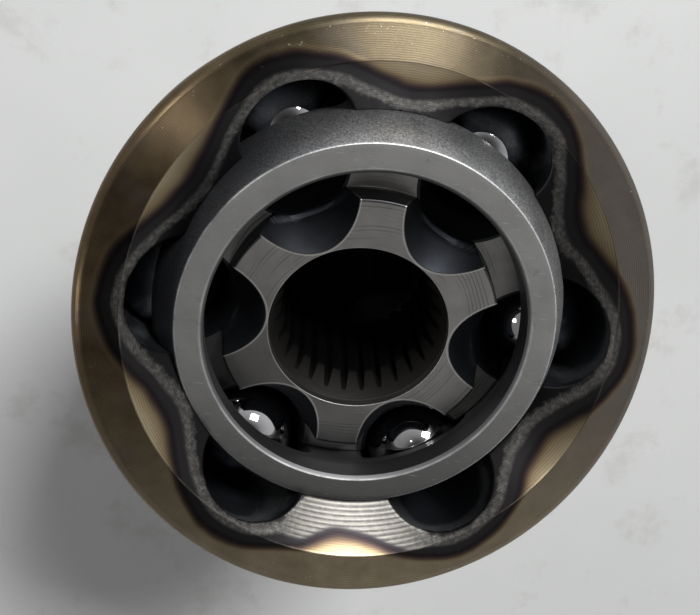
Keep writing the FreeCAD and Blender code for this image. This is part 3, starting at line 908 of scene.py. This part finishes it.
# the phosphated outer sphere, with painted shade on one side
PHOSPHATE = [(0.32, (0.17, 0.172, 0.18)), (0.50, (0.56, 0.563, 0.57)), (0.66, (0.90, 0.90, 0.90))]
SPHERE_SHADE_DEG = 200
SPHERE_SHADE_FADE = (-0.25, 0.55, 0.85)
SPHERE_SHADE = ((0.03, 0.034, 0.042), (0.16, 0.17, 0.19))
SMEAR_FADE = (0.45, 0.62, 0.4)
SMEAR = (0.20, 0.205, 0.22)
SPHERE_FADE = (CAGE_OUTER - 0.16, CAGE_OUTER - 0.05)
FACE_FADE = (CAGE_FRONT - 0.32, CAGE_FRONT - 0.18)
CAGE_BORE_COLOUR = (0.14, 0.14, 0.145)
# painted highlights along the edges of the front ring, in cloudy patches like wear, as (radius,
# share)
GLINT_EDGES = ((math.sqrt(CAGE_OUTER ** 2 - CAGE_FRONT ** 2), 1.2),
              (CAGE_FRONT_BORE + CAGE_CHAMFER, 0.7))
GLINT_LINE = (0.06, 0.24)
GLINT_HEIGHT = (CAGE_FRONT - 0.5, CAGE_FRONT - 0.25)
GLINT_CLOUD = (0.3, 0.75)
GLINT_LEAST = 0.1
EDGE_GLINT = (0.80, 0.80, 0.79)
FACE_GRAININESS = 0.3
SPHERE_GRAININESS = 1.6
FINE_RELIEF = 0.3
FACE_ROUGH = (0.15, 0.42)
SPHERE_ROUGH = 0.48
CAGE_BUMP = 0.008


def cage_steel():
    """Satin ground ends and a mottled, phosphated outer sphere."""
    s = Shader(bpy.data.materials.new("cage_steel"))
    place, (x, y, z) = s.position(REST_LEAN / 2)
    r = s.length(x, y)
    azimuth = s.math("ARCTAN2", y, x)
    speckle = s.noise(place, *CAGE_SPECKLE)
    cloud = s.noise(place, *CAGE_CLOUD)
    fine = s.noise(place, *CAGE_FINE)
    stretched = s.combine(*(s.times(a, b) for a, b in zip((x, y), SCRATCH_STRETCH)), z)
    scratch = s.fade(s.noise(stretched, *SCRATCH_NOISE), *SCRATCH_FADE)
    face = s.mix(s.linear(cloud, FACE_CLOUD, s.times(fine, FACE_FINE)), *FACE)
    face = s.mix(s.fade(s.noise(place, *BLOT_NOISE), *BLOT_FADE), face, BLOT)
    # painted shade on the side of the face where the window reflects
    face = s.mix(s.fade(s.facing(azimuth, FACE_SHADE_DEG), *FACE_SHADE_FADE), face, FACE_SHADE)
    face = s.mix(s.times(scratch, SCRATCH_SHARE), face, SCRATCH)
    sphere = s.ramp(speckle, PHOSPHATE)
    # painted shade on the side of the sphere away from the window
    sphere_shade = s.fade(s.facing(azimuth, SPHERE_SHADE_DEG), *SPHERE_SHADE_FADE)
    sphere = s.mix(sphere_shade, sphere, s.mix(speckle, *SPHERE_SHADE))
    sphere = s.mix(s.fade(cloud, *SMEAR_FADE), sphere, SMEAR)
    outer = s.fade(s.length(r, z), *SPHERE_FADE)
    bore = s.times(s.without(s.fade(z, *FACE_FADE)), s.without(outer))
    colour = s.mix(outer, face, sphere)
    colour = s.mix(bore, colour, CAGE_BORE_COLOUR)
    # painted highlights along the front ring's edges
    for edge, glint_share in GLINT_EDGES:
        near = s.times(s.line(r, edge, *GLINT_LINE), s.fade(z, *GLINT_HEIGHT))
        edge_glint_mask = s.times(s.times(near, glint_share), s.fade(cloud, *GLINT_CLOUD))
        colour = s.mix(s.times(edge_glint_mask, s.math("ADD", speckle, GLINT_LEAST)), colour, EDGE_GLINT)
    relief = s.math("ADD", s.times(speckle, s.blend(outer, FACE_GRAININESS, SPHERE_GRAININESS)),
                    s.times(fine, FINE_RELIEF))
    rough = s.blend(outer, s.linear(fine, *FACE_ROUGH), SPHERE_ROUGH)
    return s.finish(colour, rough, s.bump(relief, CAGE_BUMP))


# inner race: noises, and the face's chatter marks, which come and go in groups
RACE_CLOUD = (0.25, 5.0)
RACE_FINE = (5.0, 4.0, 0.65)
WOBBLE_NOISE = (0.10, 1.0)
WOBBLE = 2.0
CHATTER_LINES = 0.62
FINE_LINES = 0.21
GROUP_STRETCH = (0.8, 0.9)
GROUP_NOISE = (0.8, 2.0)
GROUP_FADE = (0.46, 0.62)
GROUP_SHARE = 0.55
STAR_FACE = ((0.21, 0.204, 0.194), (0.38, 0.372, 0.356))
DARK_LINE_FADE = (0.70, 1.0)
DARK_LINE = (0.070, 0.067, 0.064)
LIGHT_LINE_FADE = (0.8, 1.0)
LIGHT_LINE_SHARE = 0.4
LIGHT_LINE = (0.60, 0.59, 0.57)
RACE_DARK_SIDE_DEG = 228
RACE_DARK_SIDE_FADE = (0.1, 1.0, 0.6)
RACE_DARK_SIDE = (0.085, 0.084, 0.082)
# the arms' lower fronts, darkened by a painted shadow of the cage, and the sooty tracks with a
# bright burr beside them
ARM_SHADE_RADIUS = (RACE_HUB - 0.5, RACE_HUB - 0.3)
ARM_SHADE_HEIGHT = (RACE_SHOULDER + 0.4, RACE_SHOULDER + 0.8)
ARM_SHADE = ((0.045, 0.045, 0.048), (0.085, 0.085, 0.090))
RACE_TRACK_FADE = (0.43, 0.5)
SOOT = ((0.016, 0.018, 0.022), (0.045, 0.048, 0.054))
BURR_DISTANCE = 0.62
BURR_LINE = (0.02, 0.12)
BURR_HEIGHT = (RACE_SHOULDER, RACE_FRONT - 0.4)
BURR_SHARE = 0.6
BURR = (0.70, 0.69, 0.67)
# the broached bore, painted darker deeper in as shade, and the line round its mouth
RACE_BORE_FADE = (RACE_BORE - 0.06, RACE_BORE)
BORE_SHADE_FADE = (2.0, RACE_FRONT)
BROACHED_AND_SHADED = ((0.02, 0.02, 0.022), (0.19, 0.18, 0.165))
BORE_DUST_SHARE = 0.5
BORE_DUST = (0.09, 0.085, 0.08)
MOUTH_RADIUS = RACE_BORE + 0.05
MOUTH_LINE = (0.03, 0.12)
MOUTH_SHARE = 0.6
MOUTH = (0.75, 0.74, 0.72)
CHATTER_RELIEF = 1.6
FINE_LINES_RELIEF = 0.35
SOOT_RELIEF = 0.25
RACE_ROUGH = (0.2, 0.32)
SOOT_ROUGH = 0.50
RACE_BUMP = 0.006


def race_steel():
    """Face-turned arms with chatter marks, dark ground tracks, broached bore."""
    s = Shader(bpy.data.materials.new("race_steel"))
    place, (x, y, z) = s.position(REST_LEAN)
    r = s.length(x, y)
    azimuth = s.math("ARCTAN2", y, x)
    cloud = s.noise(place, *RACE_CLOUD)
    fine = s.noise(place, *RACE_FINE)
    chatter = s.linear(s.noise(place, *WOBBLE_NOISE), WOBBLE, r)
    lines = s.turning_lines(chatter, CHATTER_LINES)
    fine_lines = s.turning_lines(r, FINE_LINES)
    stretched = s.combine(s.times(r, GROUP_STRETCH[0]), 0.0, s.times(azimuth, GROUP_STRETCH[1]))
    groups = s.fade(s.noise(stretched, *GROUP_NOISE), *GROUP_FADE)
    face = s.mix(cloud, *STAR_FACE)
    dark_line = s.times(s.fade(lines, *DARK_LINE_FADE), s.times(groups, GROUP_SHARE))
    face = s.mix(dark_line, face, DARK_LINE)
    light_line = s.times(s.fade(fine_lines, *LIGHT_LINE_FADE), s.times(fine, LIGHT_LINE_SHARE))
    face = s.mix(light_line, face, LIGHT_LINE)
    # the face darker towards one side
    face = s.mix(s.fade(s.facing(azimuth, RACE_DARK_SIDE_DEG), *RACE_DARK_SIDE_FADE), face, RACE_DARK_SIDE)
    # painted shadow of the cage on the arms' outer ends
    arm_shade = s.times(s.fade(r, *ARM_SHADE_RADIUS), s.fade(z, *ARM_SHADE_HEIGHT))
    face = s.mix(arm_shade, face, s.mix(cloud, *ARM_SHADE))
    from_track = s.off_tube(r, azimuth, z, -TRACK_OFFSET)
    in_track = s.without(s.fade(from_track, *RACE_TRACK_FADE))
    colour = s.mix(in_track, face, s.mix(cloud, *SOOT))
    in_bore = s.without(s.fade(r, *RACE_BORE_FADE))
    # painted shade: the bore darker deeper in
    broached_and_shaded = s.mix(s.fade(z, *BORE_SHADE_FADE), *BROACHED_AND_SHADED)
    colour = s.mix(in_bore, colour, s.mix(s.times(fine, BORE_DUST_SHARE), broached_and_shaded, BORE_DUST))
    burr = s.times(s.line(from_track, BURR_DISTANCE, *BURR_LINE), s.fade(z, *BURR_HEIGHT))
    colour = s.mix(s.times(burr, BURR_SHARE), colour, BURR)
    mouth = s.times(s.line(r, MOUTH_RADIUS, *MOUTH_LINE), s.times(cloud, MOUTH_SHARE))
    colour = s.mix(mouth, colour, MOUTH)
    relief = s.math("ADD", s.times(lines, s.times(groups, CHATTER_RELIEF)),
                    s.math("ADD", s.times(fine_lines, FINE_LINES_RELIEF), fine))
    relief = s.times(relief, s.blend(in_track, 1.0, SOOT_RELIEF))
    rough = s.blend(in_track, s.linear(fine, *RACE_ROUGH), SOOT_ROUGH)
    return s.finish(colour, rough, s.bump(relief, RACE_BUMP))


HAZE_NOISE = (0.45, 4.0)
BALL_FINE = (4.0, 3.0)
BALL_TONES = ((0.34, 0.34, 0.35), (0.50, 0.50, 0.51))
BALL_ROUGH = (0.06, 0.02)
BALL_BUMP = 0.0006


def ball_steel():
    """Polished bearing steel with a faint haze of oil."""
    s = Shader(bpy.data.materials.new("ball_steel"))
    place, _ = s.position()
    haze = s.noise(place, *HAZE_NOISE)
    return s.finish(s.mix(haze, *BALL_TONES), s.linear(haze, *BALL_ROUGH),
                    s.bump(s.noise(place, *BALL_FINE), BALL_BUMP))


FLOOR_CLOUD = (0.02, 4.0)
FLOOR_TONES = ((0.76, 0.775, 0.765), (0.86, 0.87, 0.86))
STAIN_NOISE = (0.035, 6.0, 0.7)
STAIN_FADE = (0.53, 0.68, 0.35)
STAIN = (0.55, 0.545, 0.52)
GRIT_NOISE = (1.2, 3.0)
GRIT_FADE = (0.70, 0.76, 0.18)
GRIT = (0.30, 0.29, 0.28)
FLOOR_RELIEF = (0.6, 4.0)
FLOOR_ROUGH = 0.6
FLOOR_BUMP = 0.03


def floor_paint():
    """Pale matt bench top with faint stains."""
    s = Shader(bpy.data.materials.new("floor_paint"))
    place, _ = s.position()
    colour = s.mix(s.noise(place, *FLOOR_CLOUD), *FLOOR_TONES)
    colour = s.mix(s.fade(s.noise(place, *STAIN_NOISE), *STAIN_FADE), colour, STAIN)
    colour = s.mix(s.fade(s.noise(place, *GRIT_NOISE), *GRIT_FADE), colour, GRIT)
    relief = s.noise(place, *FLOOR_RELIEF)
    return s.finish(colour, FLOOR_ROUGH, s.bump(relief, FLOOR_BUMP), metallic=0.0)


# ---------------------------------------------------------------- scene

FLOOR_HALF = 1.5
FLOOR_CELLS = 4

# place and size in metres, power in watts. Each light faces the joint's centre.
LIGHTS = {
    "window": ((-0.02, 0.74, 1.08), (0.36, 0.28), 12.8),
    "side_window": ((-0.72, -0.50, 0.62), (0.13, 0.13), 0.6),
    "lamp": ((-0.46, 0.13, 0.99), (0.025, 0.025), 0.9),
}
# the room is darkest towards the ceiling, its walls brighter on one side
CEILING_WAY = (-0.06, -0.06, 1.0)
CEILING = [(0.0, 0.74), (0.60, 0.70), (0.80, 0.50), (0.92, 0.15), (1.0, 0.05)]
BRIGHT_WAY = (0.50, 0.85, 0.15)
WALL_LEVELS = (0.35, 1.25)
# share of the room's light that matt surfaces get, so that shadows stay
DIFFUSE_SHARE = 0.20

# camera: its place from the joint's centre, the way it looks and the way that is up
SENSOR_MM = 36.0
LENS_MM = 48.7
NEAREST_M = 0.005
CAMERA_PLACE_MM = (-41.65, 18.24, 155.54)
CAMERA_WAY = (0.2582, -0.1281, -0.9576)
CAMERA_UP = (-0.4236, 0.8758, -0.2314)


def dress(piece, body, nodes, material):
    piece.data.materials.clear()
    piece.data.materials.append(material)
    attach(piece, body)
    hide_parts(*nodes)


def build_pieces():
    dress(build_bell(), "outer_race", ["outer_race"], bell_steel())
    dress(build_stub(), "outer_race", ["outer_race"], stub_steel())
    dress(build_cage(), "cage", ["cage"], cage_steel())
    dress(build_inner_race(), "inner_race", ["inner_race"], race_steel())
    polished = ball_steel()
    for number in range(1, TRACKS + 1):
        node = f"ball_{number}"
        dress(build_ball(number), node, [node], polished)


def build_floor():
    work = bmesh.new()
    bmesh.ops.create_grid(work, x_segments=FLOOR_CELLS, y_segments=FLOOR_CELLS, size=FLOOR_HALF)
    plane = new_object("floor", mesh_of("floor", work), Matrix.Identity(4))
    plane.data.materials.append(floor_paint())


def build_lights():
    for name, (position, size, power) in LIGHTS.items():
        lamp = bpy.data.lights.new(name, "AREA")
        lamp.shape = "RECTANGLE"
        lamp.size, lamp.size_y = size
        lamp.energy = power
        piece = bpy.data.objects.new(name, lamp)
        bpy.context.collection.objects.link(piece)
        turn = (CENTRE - Vector(position)).to_track_quat("-Z", "Y").to_matrix().to_4x4()
        piece.matrix_world = Matrix.Translation(position) @ turn


def build_room():
    """Light from all round: a dark ceiling, walls that differ, and less for matt surfaces."""
    world = bpy.data.worlds.new("room")
    bpy.context.scene.world = world
    s = Shader(world)
    place = s.node("ShaderNodeTexCoord").outputs["Generated"]

    def towards(way):
        made = s.node("ShaderNodeVectorMath", operation="DOT_PRODUCT")
        s.feed(made.inputs[0], place)
        made.inputs[1].default_value = Vector(way).normalized()
        return made.outputs["Value"]

    walls = s.node("ShaderNodeMapRange")
    s.feed(walls.inputs["Value"], towards(BRIGHT_WAY))
    walls.inputs["From Min"].default_value = -1.0
    walls.inputs["To Min"].default_value, walls.inputs["To Max"].default_value = WALL_LEVELS
    rays = s.node("ShaderNodeLightPath").outputs
    share = s.node("ShaderNodeMapRange")
    s.feed(share.inputs["Value"], s.math("MAXIMUM", rays["Is Camera Ray"], rays["Is Glossy Ray"]))
    share.inputs["To Min"].default_value = DIFFUSE_SHARE
    back = s.tree.nodes["Background"].inputs
    ceiling = [(at, (level,) * 3) for at, level in CEILING]
    s.feed(back["Color"], s.ramp(towards(CEILING_WAY), ceiling))
    s.feed(back["Strength"], s.times(walls.outputs["Result"], share.outputs["Result"]))


def build_camera():
    """Close to the mouth, looking in a little to one side of the bell's axis."""
    data = bpy.data.cameras.new("camera")
    data.sensor_width = SENSOR_MM
    data.lens = LENS_MM
    data.clip_start = NEAREST_M
    camera = bpy.data.objects.new("camera", data)
    bpy.context.collection.objects.link(camera)
    look = Vector(CAMERA_WAY).normalized()
    right = look.cross(Vector(CAMERA_UP)).normalized()
    turn = Matrix((right, right.cross(look), -look)).transposed().to_4x4()
    spot = CENTRE + Vector(CAMERA_PLACE_MM) * MM
    camera.matrix_world = Matrix.Translation(spot) @ turn
    bpy.context.scene.camera = camera


build_pieces()
build_floor()
build_lights()
build_room()
build_camera()
bpy.context.scene.view_settings.view_transform = "Standard"
